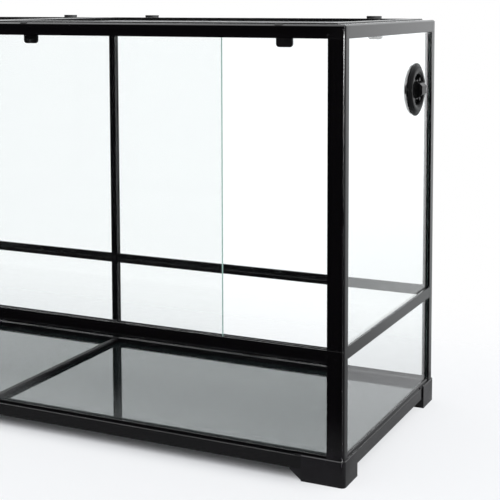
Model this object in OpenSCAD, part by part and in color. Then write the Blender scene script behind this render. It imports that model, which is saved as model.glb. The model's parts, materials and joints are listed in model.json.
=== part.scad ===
// A framed glass terrarium for reptiles, with sliding front doors and lift-off mesh lids.
// X runs along the front and Y to the rear. The origin is on the ground, below the middle.
// Corner pieces are drawn at the front left corner, where s is the distance in from the side
// face (along X) and u the distance in from the front face (along Y), and then mirrored.

/* [Tank] */
// Width over the corner posts
tank_w = 1200; // [1000:10:1400]
// Depth over the corner posts
tank_d = 400; // [380:5:600]
// Height from the ground to the top of the rim
tank_h = 625; // [560:5:760]
// Height of the top face of the middle rails at the sides and the rear
mid_h = 191.5; // [160:0.5:240]
// How much lower the middle rail of the front stands, with the door tracks
front_mid_drop = 4.5; // [0:0.5:8]
// How far the right door stands open
door_open = 164.2; // [0:0.1:400]

/* [Frame] */
// Width of a front corner post, which holds the ends of the doors
post_w = 25; // [25:1:32]
// Width of a rear corner post
rear_post_w = 15; // [15:0.5:24]
// Wall on each side of a door track
track_wall = 1.6; // [1.6:0.1:2]
// Thickness of the top rails along the two sides
side_rail_t = 16; // [16:0.5:18]
// Height of the bottom rails
bottom_rail_h = 24; // [24:1:30]
// Height of the middle rails
mid_rail_h = 17; // [17:0.5:24]
// Height of the top rails
top_rail_h = 19; // [19:1:24]
// Radius of the upright outer edges at the front
edge_r = 4; // [2:0.5:4]
// Radius of the upright outer edges at the rear
rear_edge_r = 1.5; // [1:0.5:2.5]
// Bevel along the outer top edge of the rim
rim_bevel = 2.3; // [1:0.1:2.5]
// Width of the bars across the middle of the floor, the rear and the top
cross_w = 12; // [12:1:16]

/* [Glass] */
// Thickness of every pane
glass_t = 4; // [3.5:0.1:4.5]
// How far the two closed doors lap over each other
door_lap = 30; // [20:1:50]
// Thickness of the floor panels
floor_t = 4; // [3:0.5:5]

/* [Feet] */
// Clear height under the rails
foot_drop = 16; // [14:1:25]
// How far a foot stands proud of the frame
foot_proud = 2; // [1.5:0.5:3]
// Length of a foot along the front or the rear
foot_arm_x = 62; // [50:1:80]
// Length of a foot along the side
foot_arm_y = 48; // [40:1:70]

/* [Lids] */
// Height of the lid frames
lid_t = 11; // [11:0.5:14]
// Width of the bars of the lid frames
lid_bar = 16; // [16:1:22]
// Distance from the end of a lid to the middle of a latch
latch_inset = 80; // [60:1:120]
// Travel of a latch from open to locked
latch_travel = 4; // [3.5:0.1:4]
// Length of the finger tab of a latch
tab_drop = 20; // [16:1:24]

/* [Port] */
// Distance from the middle of the port to the rear of the frame
port_from_rear = 86; // [80:1:110]
// Distance from the middle of the port up to the top of the rim
port_below_rim = 106.5; // [100:0.5:170]
// Radius of the rim of the port
port_r = 41; // [38:0.5:44]
// How far the grip stands out of the side glass
grip_h = 14; // [12:0.5:20]

/* [Hidden] */
$fn = 64;
half_w = tank_w / 2;
half_d = tank_d / 2;

// Fits and play
track_play = 0.4;
groove_play = 0.2;
fit_play = 0.2;
door_play = 0.5;
lid_play = 0.5;
rest_gap = 0.3;
bore_play = 0.08;
mesh_play = 0.3;
overlap = 1;

// The frame section: two door tracks with three walls give its depth
track_w = glass_t + 2 * track_play;
frame_t = 3 * track_wall + 2 * track_w;
groove_w = glass_t + 2 * groove_play;
lip_t = 3.6;
glass_u = lip_t + groove_play;
inner_u = lip_t + groove_w;
groove_deep = 5;
post_groove = 4.5;
door_groove = 6;
track_deep = 4.5;
top_track_deep = 9;
top_groove_deep = 6;
pane_end = 0.4;
wall = 1.8;

// Heights
bottom_z = foot_drop;
bottom_top = bottom_z + bottom_rail_h;
mid_z = mid_h - mid_rail_h;
front_mid_h = mid_h - front_mid_drop;
front_mid_z = front_mid_h - mid_rail_h;
top_z = tank_h - top_rail_h;
foot_collar = 8;
foot_top = bottom_top + foot_collar;

// Middle rails of the sides and the rear: a web between a tall outer lip and a low inner wall
web_up = 5.5;
rail_web_t = 2;
inner_lip = 1.5;
web_z0 = mid_z + web_up;
web_z1 = web_z0 + rail_web_t;
inner_wall_z0 = web_z0 - inner_lip;
inner_wall_z1 = web_z1 + inner_lip;

// Bottom rail: outer step, glass groove and the ledge that the floor rests on
step_w = 1.6;
step_below = 5.4;
step_slope = 2.2;
lip_top_w = 1;
inner_lip_below = 3.5;
lip_bevel = 1.8;
small_bevel = 0.6;
bottom_groove_h = 12;
ledge_h = 7;
ledge_t = 2;
ledge_w = 5.6;
ledge_u = frame_t + ledge_w;
floor_z = bottom_z + ledge_h;

// Chambers in the rails and posts, and the spigots that fill them
chamber_u = frame_t - 2 * wall;
bottom_chamber_h = 8.4;
mid_chamber_z = groove_deep + track_wall;
mid_chamber_h = mid_rail_h - mid_chamber_z - track_deep - wall;
top_chamber_z = top_track_deep + track_wall;
top_chamber_h = top_rail_h - top_chamber_z - wall;
front_chamber_s = inner_u + track_wall;
front_chamber_w = post_w - door_groove - track_wall - front_chamber_s;
rear_chamber_w = rear_post_w - post_groove - 2 * wall;
rear_chamber_d = frame_t - post_groove - 2 * wall;
spigot_l = 20;
post_spigot_l = 12;
solid_end = 26;

// Feet
arm_bevel = 1;
foot_lip_t = 2;
foot_lip_past = 10;
foot_toe = 20;
toe_tip = 2.5;

// Rear and top bars
web_t = 5;
web_lip_t = 2;
bar_flange = 5;
rib_chamfer = 2;
floor_rib_top = 7;
floor_flange = 6;

// Inner ledge of the top rails, which the lids rest on
rim_ledge_w = 4.6;
rim_ledge_t = 2.2;
rim_ledge_below = 9.3;
rim_ledge_z = tank_h - rim_ledge_below;
catch_w = 11;
catch_d = 3.2;
catch_h = 3.4;
catch_rise = 0.6;
catch_slope = 0.4;

// Lids
lid_x0 = cross_w / 2 + lid_play;
lid_x1 = half_w - side_rail_t - lid_play;
lid_y = half_d - frame_t - lid_play;
lid_z = rim_ledge_z + rest_gap;
lid_edge = 0.8;
mesh_t = 0.8;
mesh_seat = 4;
mesh_z = lid_z + 5;
mesh_bar = 4;
mesh_columns = 12;
mesh_rows = 8;
lift_w = 24;
lift_h = 4;
lift_u0 = frame_t + 1.6;
lift_d = 6;
latch_x = [lid_x0 + latch_inset, lid_x1 - latch_inset];

// Latches, drawn open: a bolt under the rim ledge, a stem through it and a head in the lid
bolt_w = 14;
bolt_t = 2;
bolt_u0 = frame_t + rim_ledge_w + 0.4;
bolt_u1 = bolt_u0 + 7.6;
bolt_z1 = rim_ledge_z - rim_ledge_t - rest_gap;
stem_w = 6;
stem_u0 = bolt_u0 + 1.1;
stem_d = 4.5;
head_w = 11;
head_z0 = lid_z + 2.7;
head_z1 = lid_z + 5;
neck_h = 2.4;
pocket_h = 3;
slot_play = 0.4;
notch_w = stem_w + 3;
notch_rest = 1.6;
tab_w = 25;
tab_t = 2.5;
tab_r = 5;
tab_u0 = bolt_u0 + 0.6;

// Doors: the front track carries the right door and the rear track the left one
door_end = half_w - post_w + door_groove - door_play;
door_w = door_end + door_lap / 2;
door_z0 = front_mid_h - track_deep + rest_gap;
door_z1 = top_z + 4;
front_track_u = track_wall;
rear_track_u = 2 * track_wall + track_w;

// Fixed panes
bay_front = half_w - post_w + post_groove - pane_end;
bay_rear = half_w - rear_post_w + post_groove - pane_end;
side_end = half_d - frame_t + post_groove - pane_end;
bar_end = web_t / 2 + pane_end;
low_glass_z0 = bottom_z + bottom_groove_h + pane_end;
low_glass_z1 = web_z0 - pane_end;
front_glass_z1 = front_mid_z + groove_deep - pane_end;
high_glass_z0 = web_z1 + pane_end;
high_glass_z1 = top_z + top_groove_deep - pane_end;

// Port, drawn along its own axis from the outer face of the glass
port_y = half_d - port_from_rear;
port_z = tank_h - port_below_rim;
rim_w = 13.8;
rim_overhang = 9.5;
rim_crown_w = 11;
rim_h = 5;
rim_edge = 1.2;
rim_line_in = 6.5;
rim_line_w = 0.8;
rim_line_deep = 1.6;
rim_line_r0 = port_r - rim_line_in;
rim_line_r1 = rim_line_r0 + rim_line_w;
port_bore_r = port_r - rim_w;
barrel_r = port_r - rim_overhang;
glass_hole_play = 1;
glass_hole_r = barrel_r + glass_hole_play;
rim_crown_r = port_r - rim_crown_w;
rim_arc_r = (pow(port_r - rim_crown_r, 2) + pow(rim_h, 2)) / (2 * rim_h);
barrel_l = 12;
web_front = 0.5;
port_web_t = 3;
vent_in = 11.5;
vent_out = port_bore_r - 3;
vent_angle = 70;
spindle_r = 5;
cap_play = 0.5;
cap_r = port_bore_r - cap_play;
cap_t = 2.4;
cap_wall = 1.2;
cap_rim_h = rim_h - 1;
hub_r = 10;
hub_l = 10;
grip_w = 22;
grip_base = 26;
grip_top = 18;
grip_foot_h = 2;
grip_shoulder = 3;
grip_round = 3;
nut_w = 6.5;
nut_r = barrel_r + nut_w;
nut_t = 5;
nut_notches = 12;
notch_r = 3;
notch_out = 1;
rib_l = 4;
rib_w = 7.2;
rib_out = 1.5;
rib_at = vent_in + rib_out;

black = [0.05, 0.05, 0.05];
soft_black = [0.12, 0.12, 0.12];
clear = [0.82, 0.92, 0.9, 0.35];
dark_glass = [0.05, 0.07, 0.08];
steel = [0.35, 0.35, 0.36];

// ---- Drawing helpers ----

module block(lo, hi)
    translate(lo)
        cube(hi - lo);

module rect(lo, hi)
    translate(lo)
        square(hi - lo);

// A profile with x = u and y = Z, drawn out along X
module along_x(x0, x1)
    translate([x0, 0, 0])
        rotate([90, 0, 90])
            linear_extrude(height = x1 - x0)
                children();

// A profile with x = s and y = Z, drawn out along Y
module along_y(y0, y1)
    translate([0, y1, 0])
        rotate([90, 0, 0])
            linear_extrude(height = y1 - y0)
                children();

// Mirrors what stands at the left or the front to the right or the rear
module mirrored(right, rear)
    mirror([right ? 1 : 0, 0, 0])
        mirror([0, rear ? 1 : 0, 0])
            children();

module at_corner(right, rear)
    mirrored(right, rear)
        translate([-half_w, -half_d, 0])
            children();

// The sharp edge that a rounded upright edge leaves out, at the origin
module edge_waste(r)
    difference() {
        rect([-overlap, -overlap], [r, r]);
        translate([r, r])
            circle(r);
    }

function width_of(rear) = rear ? rear_post_w : post_w;
function edge_of(rear) = rear ? rear_edge_r : edge_r;

module post_outline(rear)
    difference() {
        square([width_of(rear), frame_t]);
        edge_waste(edge_of(rear));
    }

// Section of the material that a bevel along an outer top edge takes away
module bevel_waste(top, size)
    polygon([[-overlap, top - size - overlap], [-overlap, top + overlap],
             [size + overlap, top + overlap]]);

// Slots in a post, open towards the rails: side glass, rear or low front glass, or doors
module side_slot(z0, z1)
    block([lip_t, frame_t - post_groove, z0], [inner_u, frame_t + overlap, z1]);

module pane_slot(rear, z0, z1)
    block([width_of(rear) - post_groove, lip_t, z0], [width_of(rear) + overlap, inner_u, z1]);

module door_slots(z0, z1)
    for (u = [front_track_u, rear_track_u])
        block([post_w - door_groove, u, z0], [post_w + overlap, u + track_w, z1]);

// Hollow of a post; a positive play draws the spigot that fills it
module post_hollow(rear, play, z0, z1)
    if (rear)
        block([wall + play, wall + play, z0],
              [wall + rear_chamber_w - play, wall + rear_chamber_d - play, z1]);
    else
        block([front_chamber_s + play, wall + play, z0],
              [front_chamber_s + front_chamber_w - play, wall + chamber_u - play, z1]);

// Spigots that fill the chambers of the rails along X and along Y
module spigot_x(rear, z0, h)
    block([width_of(rear) - overlap, wall + fit_play, z0 + fit_play],
          [width_of(rear) + spigot_l, wall + chamber_u - fit_play, z0 + h - fit_play]);

module spigot_y(z0, h)
    block([wall + fit_play, frame_t - overlap, z0 + fit_play],
          [wall + chamber_u - fit_play, frame_t + spigot_l, z0 + h - fit_play]);

// ---- Feet ----

module foot_shell(rear) {
    skin_top = bottom_top - step_below + foot_lip_t;
    lip_z = bottom_top - step_below;
    difference() {
        union() {
            block([-foot_proud, -foot_proud, 0], [foot_arm_x, ledge_u, foot_drop]);
            block([-foot_proud, -foot_proud, 0], [ledge_u, foot_arm_y, foot_drop]);
            block([-foot_proud, -foot_proud, 0], [foot_arm_x, 0, skin_top]);
            block([-foot_proud, -foot_proud, 0], [0, foot_arm_y, skin_top]);
            block([-foot_proud, -foot_proud, lip_z], [foot_arm_x, step_w, skin_top]);
            block([-foot_proud, -foot_proud, lip_z], [step_w, foot_arm_y, skin_top]);
        }
        translate([-foot_proud, -foot_proud, -overlap])
            linear_extrude(height = skin_top + 2 * overlap)
                edge_waste(edge_of(rear) + foot_proud);
        translate([0, -foot_proud, 0])
            along_x(-foot_proud - overlap, foot_arm_x + overlap)
                bevel_waste(skin_top, arm_bevel);
        translate([-foot_proud, 0, 0])
            along_y(-foot_proud - overlap, foot_arm_y + overlap)
                bevel_waste(skin_top, arm_bevel);
    }
    block([foot_arm_x - overlap, 0, lip_z], [foot_arm_x + foot_lip_past, step_w, skin_top]);
    block([0, foot_arm_y - overlap, lip_z], [step_w, foot_arm_y + foot_lip_past, skin_top]);
}

// Section of the sloping toe at the end of a long arm, which starts at x = 0
module toe_section()
    polygon([[-overlap, 0], [0, 0], [foot_toe - toe_tip, foot_drop - toe_tip],
             [foot_toe - toe_tip, foot_drop], [-overlap, foot_drop]]);

module foot(right, rear)
    color(soft_black)
        at_corner(right, rear)
            difference() {
                union() {
                    linear_extrude(height = foot_top)
                        post_outline(rear);
                    foot_shell(rear);
                    translate([foot_arm_x, frame_t, 0])
                        rotate([90, 0, 0])
                            linear_extrude(height = frame_t)
                                toe_section();
                    spigot_x(rear, bottom_z + wall, bottom_chamber_h);
                    spigot_y(bottom_z + wall, bottom_chamber_h);
                    post_hollow(rear, fit_play, foot_top - overlap, foot_top + post_spigot_l);
                }
                pane_slot(rear, bottom_z + bottom_groove_h, foot_top + overlap);
                side_slot(bottom_z + bottom_groove_h, foot_top + overlap);
            }

// ---- Bottom rails and floor ----

module bottom_section()
    translate([0, bottom_z])
        difference() {
            polygon([
                [0, 0], [0, bottom_rail_h - step_below - small_bevel],
                [small_bevel, bottom_rail_h - step_below], [step_w, bottom_rail_h - step_below],
                [step_w, bottom_rail_h - step_slope], [lip_t - lip_top_w, bottom_rail_h],
                [lip_t, bottom_rail_h], [lip_t, bottom_groove_h], [inner_u, bottom_groove_h],
                [inner_u, bottom_rail_h - inner_lip_below],
                [frame_t - lip_bevel, bottom_rail_h - inner_lip_below],
                [frame_t, bottom_rail_h - inner_lip_below - lip_bevel], [frame_t, 0]
            ]);
            rect([wall, wall], [wall + chamber_u, wall + bottom_chamber_h]);
        }

module ledge_section()
    rect([frame_t - overlap, bottom_z + ledge_h - ledge_t], [ledge_u, floor_z]);

// The ledge stops short of the corners, where it would meet the ledge of the side rails
module bottom_rail_long(rear) {
    reach = half_w - width_of(rear);
    ledge_reach = half_w - max(width_of(rear), ledge_u);
    color(black)
        mirrored(false, rear)
            translate([0, -half_d, 0]) {
                along_x(-reach, reach)
                    bottom_section();
                along_x(-ledge_reach, ledge_reach)
                    ledge_section();
            }
}

module bottom_rail_side(right)
    color(black)
        mirrored(right, false)
            translate([-half_w, 0, 0]) {
                along_y(-half_d + frame_t, half_d - frame_t)
                    bottom_section();
                along_y(-half_d + frame_t, half_d - frame_t)
                    ledge_section();
            }

module floor_crossbar() {
    rib = cross_w / 2;
    top = floor_z + floor_t + floor_rib_top;
    reach = half_d - ledge_u;
    flange = rib + floor_flange;
    color(black) {
        difference() {
            along_y(-half_d + frame_t, half_d - frame_t)
                polygon([[-rib, floor_z], [rib, floor_z], [rib, top - rib_chamfer],
                         [rib - rib_chamfer, top], [rib_chamfer - rib, top],
                         [-rib, top - rib_chamfer]]);
            along_y(-half_d, half_d)
                rect([wall - rib, floor_z + wall], [rib - wall, top - rib_chamfer - wall]);
        }
        block([-rib, -reach, bottom_z], [rib, reach, floor_z]);
        block([-flange, -reach, floor_z - ledge_t], [flange, reach, floor_z]);
    }
}

module floor_panel(right) {
    edge = half_d - frame_t - door_play;
    color(dark_glass)
        mirrored(right, false)
            block([-half_w + frame_t + door_play, -edge, floor_z],
                  [-cross_w / 2 - rest_gap, edge, floor_z + floor_t]);
}

// ---- Posts ----

// The joint between a lower and an upper post is level with the top of the long middle rail
function joint_of(rear) = rear ? mid_h : front_mid_h;

module lower_post(right, rear) {
    joint = joint_of(rear);
    color(black)
        at_corner(right, rear)
            difference() {
                union() {
                    translate([0, 0, foot_top])
                        linear_extrude(height = joint - foot_top)
                            post_outline(rear);
                    if (!rear)
                        spigot_x(rear, front_mid_z + mid_chamber_z, mid_chamber_h);
                    post_hollow(rear, fit_play, joint - overlap, joint + spigot_l);
                }
                post_hollow(rear, 0, foot_top - overlap, joint - solid_end);
                side_slot(foot_top - overlap, web_z0);
                side_slot(web_z1, joint + overlap);
                if (rear) {
                    pane_slot(rear, foot_top - overlap, web_z0);
                    pane_slot(rear, web_z1, joint + overlap);
                } else {
                    pane_slot(rear, foot_top - overlap, front_mid_z + groove_deep);
                    door_slots(joint - track_deep, joint + overlap);
                }
            }
}

module upper_post(right, rear) {
    joint = joint_of(rear);
    color(black)
        at_corner(right, rear)
            difference() {
                translate([0, 0, joint])
                    linear_extrude(height = top_z - joint)
                        post_outline(rear);
                post_hollow(rear, 0, joint - overlap, top_z + overlap);
                side_slot(joint - overlap, top_z + overlap);
                if (rear)
                    pane_slot(rear, joint - overlap, top_z + overlap);
                else
                    door_slots(joint - overlap, top_z + overlap);
            }
}

// Middle bar of the rear: a web between an outer and an inner flange, each with its own two
// ends, and a tongue that reaches into the grooves of the rails
module rear_bar(tongue, outer, inner)
    color(black)
        mirrored(false, true)
            translate([0, -half_d, 0]) {
                block([-web_t / 2, glass_u, tongue[0]],
                      [web_t / 2, glass_u + glass_t, tongue[1]]);
                block([-web_t / 2, lip_t, outer[0]], [web_t / 2, inner_u, outer[1]]);
                block([-cross_w / 2, lip_t - web_lip_t, outer[0]],
                      [cross_w / 2, lip_t, outer[1]]);
                block([-cross_w / 2, inner_u, inner[0]], [cross_w / 2, frame_t, inner[1]]);
            }

module lower_post_rear_middle()
    rear_bar([bottom_z + bottom_groove_h, web_z0], [bottom_top, mid_z],
             [bottom_top - inner_lip_below, inner_wall_z0]);

module upper_post_rear_middle()
    rear_bar([web_z1, top_z + top_groove_deep], [mid_h, top_z], [inner_wall_z1, top_z]);

// ---- Middle rails ----

// Section of the front rail: low glass below, two door tracks above
module track_section()
    translate([0, front_mid_z])
        difference() {
            square([frame_t, mid_rail_h]);
            rect([lip_t, -overlap], [inner_u, groove_deep]);
            rect([wall, mid_chamber_z], [wall + chamber_u, mid_chamber_z + mid_chamber_h]);
            for (u = [front_track_u, rear_track_u])
                rect([u, mid_rail_h - track_deep], [u + track_w, mid_rail_h + overlap]);
        }

module web_section() {
    rect([0, mid_z], [lip_t, mid_h]);
    rect([lip_t - overlap, web_z0], [inner_u + overlap, web_z1]);
    rect([inner_u, inner_wall_z0], [frame_t, inner_wall_z1]);
}

module mid_rail_front()
    color(black)
        translate([0, -half_d, 0])
            along_x(-half_w + post_w, half_w - post_w)
                track_section();

module mid_rail_rear()
    color(black)
        mirrored(false, true)
            translate([0, -half_d, 0])
                along_x(-half_w + rear_post_w, half_w - rear_post_w)
                    web_section();

module mid_rail_side(right)
    color(black)
        mirrored(right, false)
            translate([-half_w, 0, 0])
                along_y(-half_d + frame_t, half_d - frame_t)
                    web_section();

// ---- Top rails ----

module top_section(depth, doors)
    translate([0, top_z])
        difference() {
            square([depth, top_rail_h]);
            bevel_waste(top_rail_h, rim_bevel);
            rect([wall, top_chamber_z], [wall + chamber_u, top_chamber_z + top_chamber_h]);
            if (doors)
                for (u = [front_track_u, rear_track_u])
                    rect([u, -overlap], [u + track_w, top_track_deep]);
            else
                rect([lip_t, -overlap], [inner_u, top_groove_deep]);
        }

module rim_ledge_section(depth)
    rect([depth - overlap, rim_ledge_z - rim_ledge_t], [depth + rim_ledge_w, rim_ledge_z]);

// A long top rail, with a catch rib and a gap in its ledge at each latch
module top_rail_long(rear) {
    reach = half_w - width_of(rear);
    ledge_reach = half_w - max(width_of(rear), side_rail_t + rim_ledge_w);
    color(black)
        mirrored(false, rear)
            translate([0, -half_d, 0]) {
                along_x(-reach, reach)
                    top_section(frame_t, !rear);
                difference() {
                    along_x(-ledge_reach, ledge_reach)
                        rim_ledge_section(frame_t);
                    for (x = latch_x, side = [-1, 1])
                        translate([side * x, frame_t + notch_rest, rim_ledge_z - rim_ledge_t])
                            translate([-notch_w / 2, 0, -overlap])
                                cube([notch_w, rim_ledge_w, rim_ledge_t + 2 * overlap]);
                }
                for (x = latch_x, side = [-1, 1])
                    translate([side * x, 0, 0])
                        catch_rib();
            }
}

// Low rib on the rim in front of a latch, with a sloping front
module catch_rib()
    along_x(-catch_w / 2, catch_w / 2)
        polygon([[0, tank_h - catch_h], [catch_slope, tank_h - catch_rise],
                 [rim_bevel / 2, tank_h + catch_rise], [catch_d, tank_h + catch_rise],
                 [catch_d, tank_h - catch_h]]);

module top_rail_side(right)
    color(black)
        mirrored(right, false)
            translate([-half_w, 0, 0]) {
                along_y(-half_d + frame_t, half_d - frame_t)
                    top_section(side_rail_t, false);
                along_y(-half_d + frame_t, half_d - frame_t)
                    rim_ledge_section(side_rail_t);
            }

module top_corner(right, rear)
    color(soft_black)
        at_corner(right, rear)
            difference() {
                union() {
                    translate([0, 0, top_z])
                        linear_extrude(height = top_rail_h)
                            post_outline(rear);
                    spigot_x(rear, top_z + top_chamber_z, top_chamber_h);
                    spigot_y(top_z + top_chamber_z, top_chamber_h);
                    post_hollow(rear, fit_play, top_z - spigot_l, top_z + overlap);
                }
                along_x(-overlap, post_w + overlap)
                    bevel_waste(tank_h, rim_bevel);
                along_y(-overlap, frame_t + overlap)
                    bevel_waste(tank_h, rim_bevel);
                side_slot(top_z - overlap, top_z + top_groove_deep);
                if (rear)
                    pane_slot(rear, top_z - overlap, top_z + top_groove_deep);
                else
                    door_slots(top_z - overlap, top_z + top_track_deep);
            }

module top_crossbar() {
    rib = cross_w / 2;
    ledge = half_d - frame_t - rim_ledge_w;
    low = rim_ledge_z - rim_ledge_t - bar_flange;
    color(black)
        difference() {
            union() {
                block([-rib, -half_d + frame_t, rim_ledge_z],
                      [rib, half_d - frame_t, tank_h]);
                block([-rib, -ledge, low], [rib, ledge, rim_ledge_z + overlap]);
                block([-rib - bar_flange, -ledge, rim_ledge_z - rim_ledge_t],
                      [rib + bar_flange, ledge, rim_ledge_z]);
            }
            block([wall - rib, -ledge - overlap, low + wall], [rib - wall, ledge + overlap, tank_h - wall]);
        }
}

// ---- Glass ----

module long_pane(x0, x1, z0, z1, rear)
    color(clear)
        mirrored(false, rear)
            block([x0, -half_d + glass_u, z0], [x1, -half_d + glass_u + glass_t, z1]);

module side_pane(z0, z1)
    block([-half_w + glass_u, -side_end, z0], [-half_w + glass_u + glass_t, side_end, z1]);

module lower_glass_front()
    long_pane(-bay_front, bay_front, low_glass_z0, front_glass_z1, false);

module lower_glass_side(right)
    color(clear)
        mirrored(right, false)
            side_pane(low_glass_z0, low_glass_z1);

module upper_glass_left()
    color(clear)
        side_pane(high_glass_z0, high_glass_z1);

module upper_glass_right()
    color(clear)
        difference() {
            mirrored(true, false)
                side_pane(high_glass_z0, high_glass_z1);
            at_port()
                translate([0, 0, -2 * glass_t])
                    cylinder(h = 3 * glass_t, r = glass_hole_r);
        }

// ---- Doors ----

module door(x0, track_u)
    color(clear)
        block([x0, -half_d + track_u + track_play, door_z0],
              [x0 + door_w, -half_d + track_u + track_play + glass_t, door_z1]);

module door_left()
    door(-door_end, rear_track_u);

module door_right()
    door(door_end - door_w - door_open, front_track_u);

// ---- Lids and latches ----

// The room that one latch needs to travel in the lid, from below
module latch_pocket() {
    u0 = stem_u0 - latch_travel - rest_gap;
    u1 = stem_u0 + stem_d + rest_gap;
    block([-stem_w / 2 - slot_play, u0, lid_z - overlap],
          [stem_w / 2 + slot_play, u1, lid_z + neck_h + overlap]);
    block([-head_w / 2 - slot_play, u0, lid_z + neck_h],
          [head_w / 2 + slot_play, u1, lid_z + neck_h + pocket_h]);
}

module lid_frame(right)
    color(black)
        mirrored(!right, false)
            difference() {
                union() {
                    block([lid_x0, -lid_y, lid_z], [lid_x1, lid_y, lid_z + lid_t]);
                    for (x = latch_x)
                        block([x - lift_w / 2, half_d - lift_u0 - lift_d, lid_z + lid_t - overlap],
                              [x + lift_w / 2, half_d - lift_u0, lid_z + lid_t + lift_h]);
                }
                block([lid_x0 + lid_bar, -lid_y + lid_bar, lid_z - overlap],
                      [lid_x1 - lid_bar, lid_y - lid_bar, lid_z + lid_t + overlap]);
                block([lid_x0 + lid_bar - mesh_seat, -lid_y + lid_bar - mesh_seat,
                       mesh_z - groove_play],
                      [lid_x1 - lid_bar + mesh_seat, lid_y - lid_bar + mesh_seat,
                       mesh_z + mesh_t + groove_play]);
                for (side = [0, 1])
                    mirrored(false, side == 1)
                        translate([0, -lid_y, 0])
                            along_x(lid_x0 - overlap, lid_x1 + overlap)
                                bevel_waste(lid_z + lid_t, lid_edge);
                translate([lid_x0, 0, 0])
                    along_y(-lid_y - overlap, lid_y + overlap)
                        bevel_waste(lid_z + lid_t, lid_edge);
                translate([lid_x1, 0, 0])
                    mirror([1, 0, 0])
                        along_y(-lid_y - overlap, lid_y + overlap)
                            bevel_waste(lid_z + lid_t, lid_edge);
                for (x = latch_x, side = [0, 1])
                    mirrored(false, side == 1)
                        translate([x, -half_d, 0])
                            latch_pocket();
            }

// Coarse grid that stands for the woven wire: a plate with columns and rows of openings
module lid_mesh(right) {
    seat = lid_bar - mesh_seat + mesh_play;
    lo = [lid_x0 + seat, -lid_y + seat];
    hi = [lid_x1 - seat, lid_y - seat];
    window = [lid_x1 - lid_x0 - 2 * lid_bar, 2 * (lid_y - lid_bar)];
    cell = [(window[0] - mesh_bar) / mesh_columns, (window[1] - mesh_bar) / mesh_rows];
    color(steel)
        mirrored(!right, false)
            translate([0, 0, mesh_z])
                linear_extrude(height = mesh_t)
                    difference() {
                        rect(lo, hi);
                        for (column = [0 : mesh_columns - 1], row = [0 : mesh_rows - 1])
                            translate([lid_x0 + lid_bar + mesh_bar + column * cell[0],
                                       -lid_y + lid_bar + mesh_bar + row * cell[1]])
                                square([cell[0] - mesh_bar, cell[1] - mesh_bar]);
                    }
}

// Outline of the finger tab, with rounded lower corners and its top edge at y = 0
module tab_outline()
    difference() {
        rect([-tab_w / 2, -tab_drop + bolt_z1 - lid_z], [tab_w / 2, bolt_z1 - lid_z]);
        for (side = [0, 1])
            mirror([side, 0, 0])
                translate([-tab_w / 2, -tab_drop + bolt_z1 - lid_z])
                    edge_waste(tab_r);
    }

module latch(x, rear)
    color(soft_black)
        mirrored(false, rear)
            translate([x, -half_d, 0]) {
                block([-bolt_w / 2, bolt_u0, bolt_z1 - bolt_t], [bolt_w / 2, bolt_u1, bolt_z1]);
                block([-stem_w / 2, stem_u0, bolt_z1 - overlap],
                      [stem_w / 2, stem_u0 + stem_d, head_z0 + overlap]);
                block([-head_w / 2, stem_u0, head_z0], [head_w / 2, stem_u0 + stem_d, head_z1]);
                translate([0, tab_u0 + tab_t, lid_z])
                    rotate([90, 0, 0])
                        linear_extrude(height = tab_t)
                            tab_outline();
            }

// ---- Port ----

// The port's own axis points out of the right side, with its x axis downwards
module at_port()
    translate([half_w - glass_u, port_y, port_z])
        rotate([0, 90, 0])
            children();

// Two opposite openings, one above and one below the middle
module vents()
    for (side = [0, 180])
        rotate(side)
            intersection() {
                difference() {
                    circle(vent_out);
                    circle(vent_in);
                }
                polygon([[0, 0],
                         [port_r, port_r * tan(vent_angle / 2)],
                         [port_r, -port_r * tan(vent_angle / 2)]]);
            }

module port_flange()
    color(soft_black)
        at_port() {
            rotate_extrude()
                difference() {
                    union() {
                        intersection() {
                            rect([port_bore_r, 0], [port_r, rim_h]);
                            translate([rim_crown_r, rim_h - rim_arc_r])
                                circle(rim_arc_r);
                        }
                        rect([port_bore_r, 0], [port_r, rim_edge]);
                        rect([port_bore_r, -barrel_l], [barrel_r, 1]);
                    }
                    rect([rim_line_r0, rim_h - rim_line_deep], [rim_line_r1, rim_h + overlap]);
                }
            translate([0, 0, -web_front - port_web_t])
                linear_extrude(height = port_web_t)
                    difference() {
                        circle(port_bore_r + overlap);
                        circle(spindle_r + bore_play);
                        vents();
                    }
        }

module port_nut()
    color(soft_black)
        at_port()
            translate([0, 0, -glass_t - nut_t])
                difference() {
                    cylinder(h = nut_t, r = nut_r);
                    translate([0, 0, -overlap])
                        cylinder(h = nut_t + 2 * overlap, r = barrel_r + groove_play);
                    for (i = [0 : nut_notches - 1])
                        rotate(i * 360 / nut_notches)
                            translate([nut_r + notch_out, 0, -overlap])
                                cylinder(h = nut_t - overlap, r = notch_r);
                }

// Half of the section of the grip: a foot, a sloping side and a broken top edge
module half_grip_section()
    polygon([[0, cap_t - overlap], [grip_base / 2, cap_t - overlap],
             [grip_base / 2, cap_t + grip_foot_h], [grip_top / 2, grip_h - grip_shoulder],
             [grip_top / 2 - grip_round, grip_h], [0, grip_h]]);

module port_cap()
    color(soft_black)
        at_port() {
            linear_extrude(height = cap_t)
                difference() {
                    circle(cap_r);
                    vents();
                }
            difference() {
                cylinder(h = cap_rim_h, r = cap_r);
                translate([0, 0, -overlap])
                    cylinder(h = cap_rim_h + 2 * overlap, r = cap_r - cap_wall);
            }
            translate([0, grip_w / 2, 0])
                rotate([90, 0, 0])
                    linear_extrude(height = grip_w)
                        for (side = [0, 1])
                            mirror([side, 0])
                                half_grip_section();
            for (side = [-1, 1])
                translate([side * rib_at, 0, cap_t / 2])
                    cube([rib_l, rib_w, cap_t], center = true);
            translate([0, 0, -web_front - port_web_t - overlap])
                cylinder(h = web_front + port_web_t + 2 * overlap, r = spindle_r);
            translate([0, 0, -web_front - port_web_t - rest_gap - hub_l])
                cylinder(h = hub_l, r = hub_r);
        }

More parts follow.
